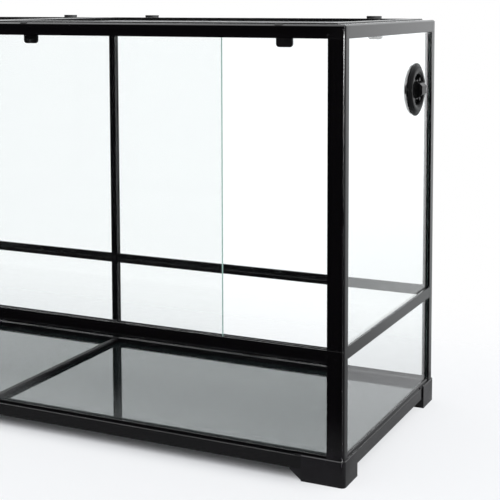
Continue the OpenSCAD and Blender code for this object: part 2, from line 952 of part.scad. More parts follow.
foot(false, false);  // foot_front_left
foot(true, false);  // foot_front_right
foot(false, true);  // foot_rear_left
foot(true, true);  // foot_rear_right
bottom_rail_long(false);  // bottom_rail_front
bottom_rail_long(true);  // bottom_rail_rear
bottom_rail_side(false);  // bottom_rail_left
bottom_rail_side(true);  // bottom_rail_right
floor_crossbar();
floor_panel(false);  // floor_panel_left
floor_panel(true);  // floor_panel_right
lower_post(false, false);  // lower_post_front_left
lower_post(true, false);  // lower_post_front_right
lower_post(false, true);  // lower_post_rear_left
lower_post(true, true);  // lower_post_rear_right
lower_post_rear_middle();
mid_rail_front();
mid_rail_rear();
mid_rail_side(false);  // mid_rail_left
mid_rail_side(true);  // mid_rail_right
upper_post(false, false);  // upper_post_front_left
upper_post(true, false);  // upper_post_front_right
upper_post(false, true);  // upper_post_rear_left
upper_post(true, true);  // upper_post_rear_right
upper_post_rear_middle();
top_corner(false, false);  // top_corner_front_left
top_corner(true, false);  // top_corner_front_right
top_corner(false, true);  // top_corner_rear_left
top_corner(true, true);  // top_corner_rear_right
top_rail_long(false);  // top_rail_front
top_rail_long(true);  // top_rail_rear
top_rail_side(false);  // top_rail_left
top_rail_side(true);  // top_rail_right
top_crossbar();
lower_glass_front();
lower_glass_side(false);  // lower_glass_left
lower_glass_side(true);  // lower_glass_right
long_pane(-bay_rear, -bar_end, low_glass_z0, low_glass_z1, true);  // lower_glass_rear_left
long_pane(bar_end, bay_rear, low_glass_z0, low_glass_z1, true);  // lower_glass_rear_right
upper_glass_left();
upper_glass_right();
long_pane(-bay_rear, -bar_end, high_glass_z0, high_glass_z1, true);  // upper_glass_rear_left
long_pane(bar_end, bay_rear, high_glass_z0, high_glass_z1, true);  // upper_glass_rear_right
door_left();
door_right();
lid_frame(false);  // lid_frame_left
lid_frame(true);  // lid_frame_right
lid_mesh(false);  // lid_mesh_left
lid_mesh(true);  // lid_mesh_right
latch(-latch_x[1], false);  // latch_front_left_outer
latch(-latch_x[0], false);  // latch_front_left_inner
latch(latch_x[0], false);  // latch_front_right_inner
latch(latch_x[1], false);  // latch_front_right_outer
latch(-latch_x[1], true);  // latch_rear_left_outer
latch(-latch_x[0], true);  // latch_rear_left_inner
latch(latch_x[0], true);  // latch_rear_right_inner
latch(latch_x[1], true);  // latch_rear_right_outer
port_flange();
port_nut();
port_cap();
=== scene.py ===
# %% [markdown]
# # A framed glass terrarium
# The tank is a cage of black plastic rails and posts that holds glass panes. Its construction
# is fixed already: every part arrives at its real size and place. This lesson gives each part
# its finish, softens the edges of the plastic, weaves the wire of the lids, and sets up the
# floor, the light and the camera.

import json
import math

import bmesh
import bpy
from mathutils import Matrix, Vector


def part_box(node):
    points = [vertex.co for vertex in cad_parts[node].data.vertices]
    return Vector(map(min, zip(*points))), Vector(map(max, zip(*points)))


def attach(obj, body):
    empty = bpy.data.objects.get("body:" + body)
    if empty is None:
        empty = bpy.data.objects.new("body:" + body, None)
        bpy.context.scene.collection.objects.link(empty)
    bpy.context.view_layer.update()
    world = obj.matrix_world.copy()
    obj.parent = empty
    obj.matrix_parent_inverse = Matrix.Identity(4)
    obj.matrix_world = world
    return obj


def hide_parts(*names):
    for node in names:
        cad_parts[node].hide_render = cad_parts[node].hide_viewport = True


MM = 0.001

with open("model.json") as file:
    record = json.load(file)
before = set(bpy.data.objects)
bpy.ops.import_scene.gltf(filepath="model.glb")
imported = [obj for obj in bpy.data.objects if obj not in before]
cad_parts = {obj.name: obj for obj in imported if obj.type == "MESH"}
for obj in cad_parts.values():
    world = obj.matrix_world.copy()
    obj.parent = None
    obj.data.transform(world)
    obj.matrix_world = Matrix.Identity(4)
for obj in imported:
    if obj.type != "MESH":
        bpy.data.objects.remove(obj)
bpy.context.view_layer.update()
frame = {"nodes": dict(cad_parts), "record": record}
nodes = frame["nodes"]

# %% [markdown]
# ## Where the parts lie
# Each part's corners come from the model itself, so nothing that is added here has to be
# measured again by eye. The outer faces of the posts give the tank's footprint in metres,
# with X to the right, Y to the rear and Z upwards.


# %% Measure the parts
def corners(name):
    low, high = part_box(name)
    return Vector(low), Vector(high)


right_face = corners("upper_post_front_right")[1].x
front_face = corners("upper_post_front_right")[0].y
rear_face = corners("upper_post_rear_right")[1].y
print("half width", round(right_face, 4), "m, depth", round(rear_face - front_face, 4), "m")

# %% [markdown]
# ## Camera
# A product camera stands well back and uses a long lens, so that the upright posts stay
# nearly parallel. It looks down by a few degrees only. To take in the feet, the lens is
# shifted down instead of the camera being tilted further, because more tilt would make the
# posts lean. The focal length is given in pixels of the picture and turned into millimetres.

# %% Place the camera
CAMERA_AT = Vector((1160.08, -1660.25, 656.16)) * MM
TURN = math.radians(25.57)
PITCH = math.radians(-4.76)
ROLL = math.radians(-0.13)
PICTURE = 500
FOCAL_PIXELS = 1191.9
AXIS_ABOVE_MIDDLE = 150
SENSOR = 36.0
SEES_TO = 60.0


def camera_axes(turn, pitch, roll):
    forward = Vector((-math.sin(turn) * math.cos(pitch), math.cos(turn) * math.cos(pitch),
                      math.sin(pitch)))
    level_right = Vector((math.cos(turn), math.sin(turn), 0.0))
    level_up = level_right.cross(forward)
    right = math.cos(roll) * level_right + math.sin(roll) * level_up
    up = math.cos(roll) * level_up - math.sin(roll) * level_right
    return right, up, forward


def make_camera():
    right, up, forward = camera_axes(TURN, PITCH, ROLL)
    data = bpy.data.cameras.new("camera")
    data.sensor_width = SENSOR
    data.lens = SENSOR * FOCAL_PIXELS / PICTURE
    data.shift_y = -AXIS_ABOVE_MIDDLE / PICTURE
    data.clip_end = SEES_TO
    camera = bpy.data.objects.new("camera", data)
    rotation = Matrix((right, up, -forward)).transposed()
    camera.matrix_world = Matrix.Translation(CAMERA_AT) @ rotation.to_4x4()
    bpy.context.scene.collection.objects.link(camera)
    bpy.context.scene.camera = camera
    return camera


camera = make_camera()
print("lens", round(camera.data.lens, 2), "mm, shift", round(camera.data.shift_y, 3))

# %% [markdown]
# ## Helpers for node trees
# A material is a small graph of nodes. It could be drawn by hand in the editor, but a script
# can be read and repeated. These helpers add a node, set what it needs by name and join it,
# so that each material below reads as a list of layers. A value that is handed to them may be
# a plain number or the output of another node.


# %% Add nodes
def feed(tree, socket, value):
    if isinstance(value, bpy.types.NodeSocket):
        tree.links.new(value, socket)
    else:
        socket.default_value = value


def add(tree, kind, settings=None, **inputs):
    node = tree.nodes.new(kind)
    for name, value in (settings or {}).items():
        setattr(node, name, value)
    for name, value in inputs.items():
        feed(tree, node.inputs[name.replace("_", " ")], value)
    return node


def math_node(tree, operation, first, second=0.0, third=0.0, clamp=False):
    node = add(tree, "ShaderNodeMath", {"operation": operation, "use_clamp": clamp})
    for socket, value in zip(node.inputs, (first, second, third)):
        feed(tree, socket, value)
    return node.outputs[0]


def vector_node(tree, operation, *vectors):
    node = add(tree, "ShaderNodeVectorMath", {"operation": operation})
    for socket, vector in zip(node.inputs, vectors):
        feed(tree, socket, vector)
    return node.outputs


def axes_of(tree, vector):
    return add(tree, "ShaderNodeSeparateXYZ", Vector=vector).outputs


# 0 at low, 1 at high, with a soft start and end; low may be the larger of the two
def ramp_between(tree, value, low, high):
    node = add(tree, "ShaderNodeMapRange", {"interpolation_type": "SMOOTHSTEP"},
               Value=value, From_Min=low, From_Max=high)
    return node.outputs["Result"]


def noise(tree, place, **inputs):
    return add(tree, "ShaderNodeTexNoise", Vector=place, **inputs).outputs["Fac"]


def object_place(tree):
    return tree.nodes.new("ShaderNodeTexCoord").outputs["Object"]


print("node helpers ready")

# %% Mix colours and shaders
# A Mix node has sockets for numbers, vectors and colours: these are the ones for colours
MIX_SHARE, MIX_FIRST, MIX_SECOND, MIX_RESULT = 0, 6, 7, 2


def opaque(colour):
    return colour if isinstance(colour, bpy.types.NodeSocket) else (*colour, 1.0)


def mix_colours(tree, share, first, second):
    node = add(tree, "ShaderNodeMix", {"data_type": "RGBA"})
    feed(tree, node.inputs[MIX_SHARE], share)
    feed(tree, node.inputs[MIX_FIRST], opaque(first))
    feed(tree, node.inputs[MIX_SECOND], opaque(second))
    return node.outputs[MIX_RESULT]


def mix_shaders(tree, share, first, second):
    node = tree.nodes.new("ShaderNodeMixShader")
    for socket, value in zip(node.inputs, (share, first.outputs[0], second.outputs[0])):
        feed(tree, socket, value)
    return node


print("mix helpers ready")

# %% [markdown]
# ## Shared effects
# Several finishes need the same lines, grain or dust. Copying those nodes into each material
# would work, but every change would then be made many times. A group is a graph with named
# inputs and outputs that is built once and placed in each material with its own values.

# %% Group helpers
FLOAT = "NodeSocketFloat"
VECTOR = "NodeSocketVector"


def new_group(name, inputs, outputs):
    tree = bpy.data.node_groups.new(name, "ShaderNodeTree")
    for title, kind, default in inputs:
        socket = tree.interface.new_socket(title, in_out="INPUT", socket_type=kind)
        socket.default_value = default
    for title, kind in outputs:
        tree.interface.new_socket(title, in_out="OUTPUT", socket_type=kind)
    given = tree.nodes.new("NodeGroupInput").outputs
    out = tree.nodes.new("NodeGroupOutput").inputs
    return tree, given, out


def use_group(tree, group, **inputs):
    return add(tree, "ShaderNodeGroup", {"node_tree": group}, **inputs).outputs


print("group helpers ready")

# %% [markdown]
# ## Extrusion lines
# The rails and posts are pushed through a steel die, which leaves faint lines along their
# length. Cutting the lines into the shape would take millions of faces, and a picture of them
# would have to be wrapped round every rail. A noise that is stretched along the piece needs
# neither: the group scales the place on the piece by a vector that is small along the rail
# and large across it.

# %% Group: extrusion lines
BROAD_LINES = 0.6


def make_draw_lines():
    tree, given, out = new_group(
        "draw_lines",
        [("Stretch", VECTOR, (2.0, 600.0, 600.0)), ("Strength", FLOAT, 1.0)],
        [("Lines", FLOAT), ("Height", FLOAT)])
    stretched = vector_node(tree, "MULTIPLY", object_place(tree), given["Stretch"])["Vector"]
    fine = noise(tree, stretched, Scale=1.0, Detail=3.0, Roughness=0.6)
    broad = noise(tree, stretched, Scale=0.23, Detail=1.0)
    both = math_node(tree, "MULTIPLY_ADD", broad, BROAD_LINES, fine)
    lines = ramp_between(tree, both, low=0.55, high=1.05)
    tree.links.new(lines, out["Lines"])
    tree.links.new(math_node(tree, "MULTIPLY", lines, given["Strength"]), out["Height"])
    return tree


draw_lines = make_draw_lines()
print("group", draw_lines.name)

# %% [markdown]
# ## Moulded grain
# Feet, corners and latches are moulded in a sparked steel tool, so their skin has an even,
# fine grain instead of lines. The grain is too fine to model, and only its effect on the
# gloss shows. Small cells with a finer noise over them give the skin its height, and a slow
# noise adds the faint cloudiness that cooling plastic keeps.

# %% Group: moulded grain
SPECKLE_HEIGHT = 0.4


def make_moulded_grain():
    tree, given, out = new_group(
        "moulded_grain",
        [("Grain Scale", FLOAT, 1800.0)],
        [("Height", FLOAT), ("Cloud", FLOAT)])
    place = object_place(tree)
    cells = add(tree, "ShaderNodeTexVoronoi", {"feature": "F1"}, Vector=place,
                Scale=given["Grain Scale"]).outputs["Distance"]
    speckle = noise(tree, place, Scale=4200.0, Detail=2.0)
    cloud = noise(tree, place, Scale=38.0, Detail=4.0)
    height = math_node(tree, "MULTIPLY_ADD", speckle, SPECKLE_HEIGHT, cells)
    tree.links.new(height, out["Height"])
    tree.links.new(ramp_between(tree, cloud, low=0.3, high=0.7), out["Cloud"])
    return tree


moulded_grain = make_moulded_grain()
print("group", moulded_grain.name)

# %% [markdown]
# ## Handling marks
# A tank that has been carried and set down shows a little pale dust on its upward faces and
# faint scuffs near the ground. Both could be painted on by hand, part by part. The masks here
# follow a rule instead: they read the direction that a face points in and its height above
# the ground, both from the piece itself, so they fit every part.

# %% Group: dust and scuffs
DUST_IN_DOTS = 0.6
DUST_IN_PATCHES = 0.4


def make_handling():
    tree, given, out = new_group(
        "handling",
        [("Dust", FLOAT, 1.0), ("Scuff Height", FLOAT, 0.006)],
        [("Dust", FLOAT), ("Scuff", FLOAT)])
    coordinates = tree.nodes.new("ShaderNodeTexCoord").outputs
    facing = axes_of(tree, coordinates["Normal"])
    place = axes_of(tree, coordinates["Object"])
    patches = noise(tree, coordinates["Object"], Scale=24.0, Detail=8.0, Roughness=0.65)
    specks = noise(tree, coordinates["Object"], Scale=900.0, Detail=2.0)
    upward = ramp_between(tree, facing["Z"], low=0.55, high=1.0)
    spread = ramp_between(tree, patches, low=0.4, high=0.75)
    dots = ramp_between(tree, specks, low=0.5, high=0.72)
    layer = math_node(tree, "MULTIPLY_ADD", dots, DUST_IN_DOTS,
                      math_node(tree, "MULTIPLY", spread, DUST_IN_PATCHES))
    dust = math_node(tree, "MULTIPLY", math_node(tree, "MULTIPLY", layer, upward),
                     given["Dust"], clamp=True)
    height = math_node(tree, "DIVIDE", place["Z"], given["Scuff Height"])
    near_ground = math_node(tree, "SUBTRACT", 1.0, height, clamp=True)
    scratches = ramp_between(tree, specks, low=0.42, high=0.6)
    scuff = math_node(tree, "MULTIPLY", near_ground, scratches)
    tree.links.new(dust, out["Dust"])
    tree.links.new(scuff, out["Scuff"])
    return tree


handling = make_handling()
print("group", handling.name)

# %% [markdown]
# ## Materials: black plastic
# Two plastics make the frame. The extruded one is smooth and takes a soft gloss, with its
# lines running the way the piece runs, so long rails, side rails and posts each get their own
# copy. The crossbar under the floor lies in the dark and hardly shines, so it has a duller
# copy. The moulded plastic is grained, and its gloss differs: the corners shine as the rails
# do, the lid frames and latches less. One flat black for all would look like a cut-out. So
# each material starts from a very dark colour and lays lines or clouds over it, then dust,
# and on the feet also scuffs.


# %% Start a material
def new_material(name):
    material = bpy.data.materials.new(name)
    material.use_nodes = True
    tree = material.node_tree
    shader = next(node for node in tree.nodes if node.type == "BSDF_PRINCIPLED")
    return material, tree, shader


def set_values(shader, **values):
    for name, value in values.items():
        shader.inputs[name.replace("_", " ")].default_value = value


def show_surface(tree, shader):
    output = next(node for node in tree.nodes if node.type == "OUTPUT_MATERIAL")
    tree.links.new(shader.outputs[0], output.inputs["Surface"])


print("material helpers ready")


# %% Layers, roughness and bump
def lay_over(tree, base, mask, share, colour):
    return mix_colours(tree, math_node(tree, "MULTIPLY", mask, share), base, colour)


def add_roughness(tree, shader, start, *layers):
    rough = start
    for mask, amount in layers:
        rough = math_node(tree, "MULTIPLY_ADD", mask, amount, rough)
    tree.links.new(rough, shader.inputs["Roughness"])


def add_bump(tree, shader, height, strength, distance):
    bump = add(tree, "ShaderNodeBump", Height=height, Strength=strength, Distance=distance)
    tree.links.new(bump.outputs["Normal"], shader.inputs["Normal"])


def brighter(colour, times):
    return tuple(times * channel for channel in colour)


DUST_COLOUR = (0.32, 0.31, 0.29)
DUST_ROUGHENS = 0.2
print("dust colour", DUST_COLOUR)

# %% Extruded plastic
PLASTIC_IOR = 1.45
PLASTIC_SPECULAR = 0.3
SKIN_DEPTH = 0.06 * MM
LINES_PALER = 1.6
EXTRUDED_BLACK = (0.0014, 0.0012, 0.0015)
CROSSBAR_BLACK = (0.004, 0.0038, 0.0042)
# How often the lines change in a metre, along a rail and across it
ALONG = 3.0
ACROSS = 900.0


def extruded_plastic(name, stretch, colour=EXTRUDED_BLACK, roughness=0.13,
                     specular=PLASTIC_SPECULAR):
    material, tree, shader = new_material(name)
    lines = use_group(tree, draw_lines, Stretch=stretch, Strength=1.0)
    marks = use_group(tree, handling, Dust=0.35, Scuff_Height=0.004)
    base = mix_colours(tree, lines["Lines"], colour, brighter(colour, LINES_PALER))
    base = lay_over(tree, base, marks["Dust"], share=0.03, colour=DUST_COLOUR)
    tree.links.new(base, shader.inputs["Base Color"])
    add_roughness(tree, shader, roughness, (lines["Lines"], 0.05),
                  (marks["Dust"], DUST_ROUGHENS))
    set_values(shader, IOR=PLASTIC_IOR, Specular_IOR_Level=specular)
    add_bump(tree, shader, lines["Height"], strength=0.03, distance=SKIN_DEPTH)
    return material


rail_along_x = extruded_plastic("rail_plastic_along_x", (ALONG, ACROSS, ACROSS))
rail_along_y = extruded_plastic("rail_plastic_along_y", (ACROSS, ALONG, ACROSS))
post_along_z = extruded_plastic("post_plastic_along_z", (ACROSS, ACROSS, ALONG))
bar_along_y = extruded_plastic("bar_plastic_along_y", (ACROSS, ALONG, ACROSS),
                               CROSSBAR_BLACK, roughness=0.3, specular=0.03)
print("extruded plastics: 4")

# %% Moulded plastic
CLOUDS_PALER = 1.7
WORN_GREY = (0.16, 0.16, 0.16)
CORNER_BLACK = (0.0018, 0.0016, 0.0019)
FEET_BLACK = (0.0032, 0.0027, 0.0036)
LID_BLACK = (0.004, 0.004, 0.0043)
LATCH_BLACK = (0.0035, 0.0034, 0.0038)
PORT_BLACK = (0.003, 0.003, 0.0032)


def moulded_plastic(name, colour, roughness, grain=1800.0, bump=0.25, scuffs=0.0,
                    specular=PLASTIC_SPECULAR):
    material, tree, shader = new_material(name)
    skin = use_group(tree, moulded_grain, Grain_Scale=grain)
    marks = use_group(tree, handling, Dust=0.6, Scuff_Height=0.007)
    base = mix_colours(tree, skin["Cloud"], colour, brighter(colour, CLOUDS_PALER))
    base = lay_over(tree, base, marks["Dust"], share=0.04, colour=DUST_COLOUR)
    if scuffs:
        base = lay_over(tree, base, marks["Scuff"], share=scuffs, colour=WORN_GREY)
    tree.links.new(base, shader.inputs["Base Color"])
    add_roughness(tree, shader, roughness, (skin["Cloud"], 0.1),
                  (marks["Dust"], DUST_ROUGHENS))
    set_values(shader, IOR=PLASTIC_IOR, Specular_IOR_Level=specular)
    add_bump(tree, shader, skin["Height"], strength=bump, distance=SKIN_DEPTH)
    return material


corner_plastic = moulded_plastic("corner_plastic", CORNER_BLACK, roughness=0.1, bump=0.08)
feet_plastic = moulded_plastic("feet_plastic", FEET_BLACK, roughness=0.14, bump=0.12,
                               scuffs=0.05)
lid_plastic = moulded_plastic("lid_plastic", LID_BLACK, roughness=0.22, grain=2400.0)
latch_plastic = moulded_plastic("latch_plastic", LATCH_BLACK, roughness=0.28)
port_plastic = moulded_plastic("port_plastic", PORT_BLACK, roughness=0.1, grain=2600.0,
                               bump=0.05, specular=0.05)
cap_plastic = moulded_plastic("cap_plastic", PORT_BLACK, roughness=0.12, grain=2600.0,
                              bump=0.05, specular=0.08)
print("moulded plastics: 6")

# %% [markdown]
# ## Materials: glass
# Every pane is 4 mm float glass. Its faces are clear, with a very faint wave and a few dry
# smears where hands have slid the doors. Its ground edges are matt and look green, because
# there one looks through a long stretch of glass. The edges could be given a material of
# their own, but a mask finds them without touching the shape: they are the faces that don't
# point across the pane. A ground edge scatters light, so most of it is a matt shader there.

# %% Group: pane edges and smears
FACE_POINTS_ACROSS = 0.7


def make_pane_marks():
    tree, given, out = new_group(
        "pane_marks",
        [("Across", VECTOR, (0.0, 1.0, 0.0))],
        [("Edge", FLOAT), ("Smear", FLOAT), ("Wave", FLOAT)])
    coordinates = tree.nodes.new("ShaderNodeTexCoord").outputs
    facing = vector_node(tree, "DOT_PRODUCT", coordinates["Normal"], given["Across"])["Value"]
    edge = math_node(tree, "LESS_THAN", math_node(tree, "ABSOLUTE", facing),
                     FACE_POINTS_ACROSS)
    smears = noise(tree, coordinates["Object"], Scale=9.0, Detail=6.0, Roughness=0.7,
                   Distortion=0.6)
    tree.links.new(edge, out["Edge"])
    tree.links.new(ramp_between(tree, smears, low=0.55, high=0.8), out["Smear"])
    tree.links.new(noise(tree, coordinates["Object"], Scale=3.0), out["Wave"])
    return tree


pane_marks = make_pane_marks()
print("group", pane_marks.name)

# %% Clear glass
GLASS_IOR = 1.52
EDGE_MATT = 0.7
WAVE_STRENGTH = 0.01
WAVE_DEPTH = 0.2 * MM
PANE_TINT = (0.985, 0.996, 0.994)
DOOR_TINT = (0.984, 0.996, 0.993)
EDGE_GREEN = (0.52, 0.78, 0.7)


# Light that falls through a pane would be lost as a shadow, so shadow rays see a clear sheet
def let_light_through(tree, shader, tint):
    shadow_ray = tree.nodes.new("ShaderNodeLightPath").outputs["Is Shadow Ray"]
    sheet = add(tree, "ShaderNodeBsdfTransparent", Color=opaque(tint))
    show_surface(tree, mix_shaders(tree, shadow_ray, shader, sheet))


def clear_glass(name, across, tint, smear=0.015):
    material, tree, shader = new_material(name)
    marks = use_group(tree, pane_marks, Across=across)
    tree.links.new(mix_colours(tree, marks["Edge"], tint, EDGE_GREEN),
                   shader.inputs["Base Color"])
    add_roughness(tree, shader, 0.0, (marks["Smear"], smear), (marks["Edge"], 0.25))
    set_values(shader, Transmission_Weight=1.0, IOR=GLASS_IOR)
    add_bump(tree, shader, marks["Wave"], strength=WAVE_STRENGTH, distance=WAVE_DEPTH)
    matt = add(tree, "ShaderNodeBsdfDiffuse", Color=opaque(EDGE_GREEN))
    matt_share = math_node(tree, "MULTIPLY", marks["Edge"], EDGE_MATT)
    let_light_through(tree, mix_shaders(tree, matt_share, shader, matt), tint)
    return material


glass_facing_y = clear_glass("clear_glass_facing_y", (0.0, 1.0, 0.0), PANE_TINT)
glass_facing_x = clear_glass("clear_glass_facing_x", (1.0, 0.0, 0.0), PANE_TINT)
door_glass = clear_glass("door_glass", (0.0, 1.0, 0.0), DOOR_TINT, smear=0.02)
print("glass: 3 kinds")

# %% [markdown]
# ## Material: floor panels
# The floor is glass with a black back. Real glass over a black sheet would show the same, but
# slowly, since each ray passes the glass twice. From a low angle it works as a dark mirror, so
# one opaque shader does: almost no colour of its own, a very smooth surface and just enough
# haze to look like a real sheet. Both of its faces mirror, which a somewhat higher index of
# refraction stands in for, and the glass tints what it mirrors slightly towards blue-green.

# %% Floor glass
PANEL_IOR = 1.62
PANEL_MIRROR_TINT = (0.88, 0.99, 1.0)
PANEL_BLACK = (0.004, 0.007, 0.007)
PANEL_SMEARED = (0.008, 0.011, 0.011)
PANEL_EDGE = (0.02, 0.05, 0.045)


def black_glass(name):
    material, tree, shader = new_material(name)
    marks = use_group(tree, pane_marks, Across=(0.0, 0.0, 1.0))
    wiped = use_group(tree, handling, Dust=0.5, Scuff_Height=0.001)
    base = mix_colours(tree, marks["Smear"], PANEL_BLACK, PANEL_SMEARED)
    base = lay_over(tree, base, wiped["Dust"], share=0.03, colour=DUST_COLOUR)
    base = mix_colours(tree, marks["Edge"], base, PANEL_EDGE)
    tree.links.new(base, shader.inputs["Base Color"])
    add_roughness(tree, shader, 0.008, (marks["Smear"], 0.012), (marks["Edge"], 0.2))
    set_values(shader, IOR=PANEL_IOR, Specular_Tint=opaque(PANEL_MIRROR_TINT))
    add_bump(tree, shader, marks["Wave"], strength=WAVE_STRENGTH, distance=WAVE_DEPTH)
    return material


floor_glass = black_glass("floor_glass")
print("floor glass ready")

# %% [markdown]
# ## Material: lid wire
# The wire is steel under a thin black coat. Handling dulls the coat to a dark grey in places,
# and dust stays on top of the wires. A slow noise mixes the two greys, the dust mask lies over
# them, and the moulded grain, made finer, gives the coat its slight roughness.

# %% Coated wire
WIRE_COAT = (0.014, 0.014, 0.015)
WIRE_DULLED = (0.034, 0.034, 0.036)
WIRE_DUST = (0.2, 0.2, 0.2)
COAT_DEPTH = 0.03 * MM


def coated_wire(name):
    material, tree, shader = new_material(name)
    skin = use_group(tree, moulded_grain, Grain_Scale=3200.0)
    marks = use_group(tree, handling, Dust=0.8, Scuff_Height=0.001)
    base = mix_colours(tree, skin["Cloud"], WIRE_COAT, WIRE_DULLED)
    base = lay_over(tree, base, marks["Dust"], share=0.3, colour=WIRE_DUST)
    tree.links.new(base, shader.inputs["Base Color"])
    add_roughness(tree, shader, 0.36, (skin["Cloud"], 0.15))
    add_bump(tree, shader, skin["Height"], strength=0.2, distance=COAT_DEPTH)
    return material


mesh_steel = coated_wire("mesh_steel")
print("wire coat ready")

# %% [markdown]
# ## Give the parts their finish
# The part's name says which finish it needs: what runs along X, along Y or upwards, what is
# moulded and what is glass. The list is read from the top, and the first entry that the name
# starts with counts, so the longer names come first. Assigning a material to a slot leaves
# the part's shape alone.

# %% Assign materials
FINISHES = [
    ("foot", feet_plastic), ("top_corner", corner_plastic), ("latch", latch_plastic),
    ("lid_frame", lid_plastic), ("port_cap", cap_plastic), ("port", port_plastic),
    ("door", door_glass), ("floor_panel", floor_glass), ("floor_crossbar", bar_along_y),
    ("top_crossbar", rail_along_y), ("lower_glass_left", glass_facing_x),
    ("lower_glass_right", glass_facing_x), ("upper_glass_left", glass_facing_x),
    ("upper_glass_right", glass_facing_x), ("lower_glass", glass_facing_y),
    ("upper_glass", glass_facing_y), ("lower_post", post_along_z),
    ("upper_post", post_along_z), ("bottom_rail_left", rail_along_y),
    ("bottom_rail_right", rail_along_y), ("mid_rail_left", rail_along_y),
    ("mid_rail_right", rail_along_y), ("top_rail_left", rail_along_y),
    ("top_rail_right", rail_along_y), ("bottom_rail", rail_along_x),
    ("mid_rail", rail_along_x), ("top_rail", rail_along_x), ("lid_mesh", mesh_steel),
]


def finish_for(name):
    return next(material for start, material in FINISHES if name.startswith(start))


def set_material(piece, material):
    if not piece.data.materials:
        piece.data.materials.append(material)
    for index in range(len(piece.data.materials)):
        piece.data.materials[index] = material


for name, piece in nodes.items():
    set_material(piece, finish_for(name))
print("finished parts:", len(nodes))

# %% [markdown]
# ## Softened edges
# No moulded or extruded edge is perfectly sharp: a radius of a few tenths of a millimetre
# catches a thin line of light along every edge. A Bevel node in the material could fake that
# line, but then the shape itself would stay sharp. So a copy of each plastic part is cleaned,
# given a bevel and shown in place of the original. The bevel is so narrow that whatever moves
# stays free.

# %% Copy and clean a part
BODY_OF = {node: body for body, members in
           frame["record"]["behaviour"]["bodies"].items() for node in members}
MERGE = 0.002 * MM
FLAT_ANGLE = math.radians(0.3)
EDGE_ANGLE = math.radians(32)
# A flat face that runs all round a window can't be merged into one face
RING_SHAPED = "lid_frame"


def clean_copy(name):
    mesh = nodes[name].data.copy()
    work = bmesh.new()
    work.from_mesh(mesh)
    bmesh.ops.remove_doubles(work, verts=work.verts, dist=MERGE)
    if not name.startswith(RING_SHAPED):
        bmesh.ops.dissolve_limit(work, angle_limit=FLAT_ANGLE, verts=work.verts,
                                 edges=work.edges)
    work.to_mesh(mesh)
    work.free()
    mesh.shade_smooth()
    mesh.set_sharp_from_angle(angle=EDGE_ANGLE)
    piece = bpy.data.objects.new(name + "_soft", mesh)
    bpy.context.scene.collection.objects.link(piece)
    return piece


# %% Bevel the copies
BEVEL_SEGMENTS = 2
# The width of the bevel in millimetres, for the parts whose names start so
SOFT_EDGES = {
    "foot": 0.5, "top_corner": 0.5, "latch": 0.3, "lid_frame": 0.4, "port": 0.3,
    "bottom_rail": 0.35, "mid_rail": 0.35, "top_rail": 0.35, "top_crossbar": 0.4,
    "floor_crossbar": 0.4, "lower_post": 0.35, "upper_post": 0.35,
}


# The result of the modifiers becomes the piece's own mesh, and the modifiers go
def bake_modifiers(piece):
    ready = piece.evaluated_get(bpy.context.evaluated_depsgraph_get())
    mesh = bpy.data.meshes.new_from_object(ready)
    piece.modifiers.clear()
    piece.data = mesh


def soften(name, width):
    piece = clean_copy(name)
    bevel = piece.modifiers.new("soft_edges", "BEVEL")
    bevel.width = width
    bevel.segments = BEVEL_SEGMENTS
    bevel.limit_method = "ANGLE"
    bevel.angle_limit = EDGE_ANGLE
    bevel.miter_outer = "MITER_ARC"
    bevel.harden_normals = True
    bake_modifiers(piece)
    set_material(piece, finish_for(name))
    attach(piece, BODY_OF[name])
    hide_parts(name)
    return piece


softened = [soften(name, width * MM) for name in nodes
            for start, width in SOFT_EDGES.items() if name.startswith(start)]
print("softened parts:", len(softened))

# %% [markdown]
# ## Lid mesh
# Each lid is filled with woven wire: every wire goes over one crossing wire and under the
# next. The wires could be drawn one by one as curves, but a rule makes them all. A grid of
# points gives the crossings. Lifting every other point and dropping the rest, like a chess
# board, bends the wires of one direction, and the opposite board bends those of the other.
# Geometry Nodes keep the edges that run one way, turn them into curves and give them a thin
# section with few sides, because there are so many.

# %% Lift the crossings
MESH_PITCH = 4.5 * MM
WIRE_RADIUS = 0.3 * MM
WIRE_SIDES = 4


# A chess board of +1 and -1 over the crossings
def board(tree, pitch):
    axes = axes_of(tree, add(tree, "GeometryNodeInputPosition").outputs[0])
    column = math_node(tree, "ROUND", math_node(tree, "DIVIDE", axes["X"], pitch))
    row = math_node(tree, "ROUND", math_node(tree, "DIVIDE", axes["Y"], pitch))
    odd = math_node(tree, "FLOORED_MODULO", math_node(tree, "ADD", column, row), 2.0)
    return math_node(tree, "SUBTRACT", math_node(tree, "MULTIPLY", odd, 2.0), 1.0)


def bend_over_and_under(tree, wires, given, sign):
    height = math_node(tree, "MULTIPLY", given["Wire Radius"], sign)
    lift = math_node(tree, "MULTIPLY", board(tree, given["Pitch"]), height)
    offset = add(tree, "ShaderNodeCombineXYZ", Z=lift).outputs[0]
    return add(tree, "GeometryNodeSetPosition", Geometry=wires, Offset=offset).outputs[0]


print("pitch", round(MESH_PITCH / MM, 2), "mm, wire", round(2 * WIRE_RADIUS / MM, 2), "mm")


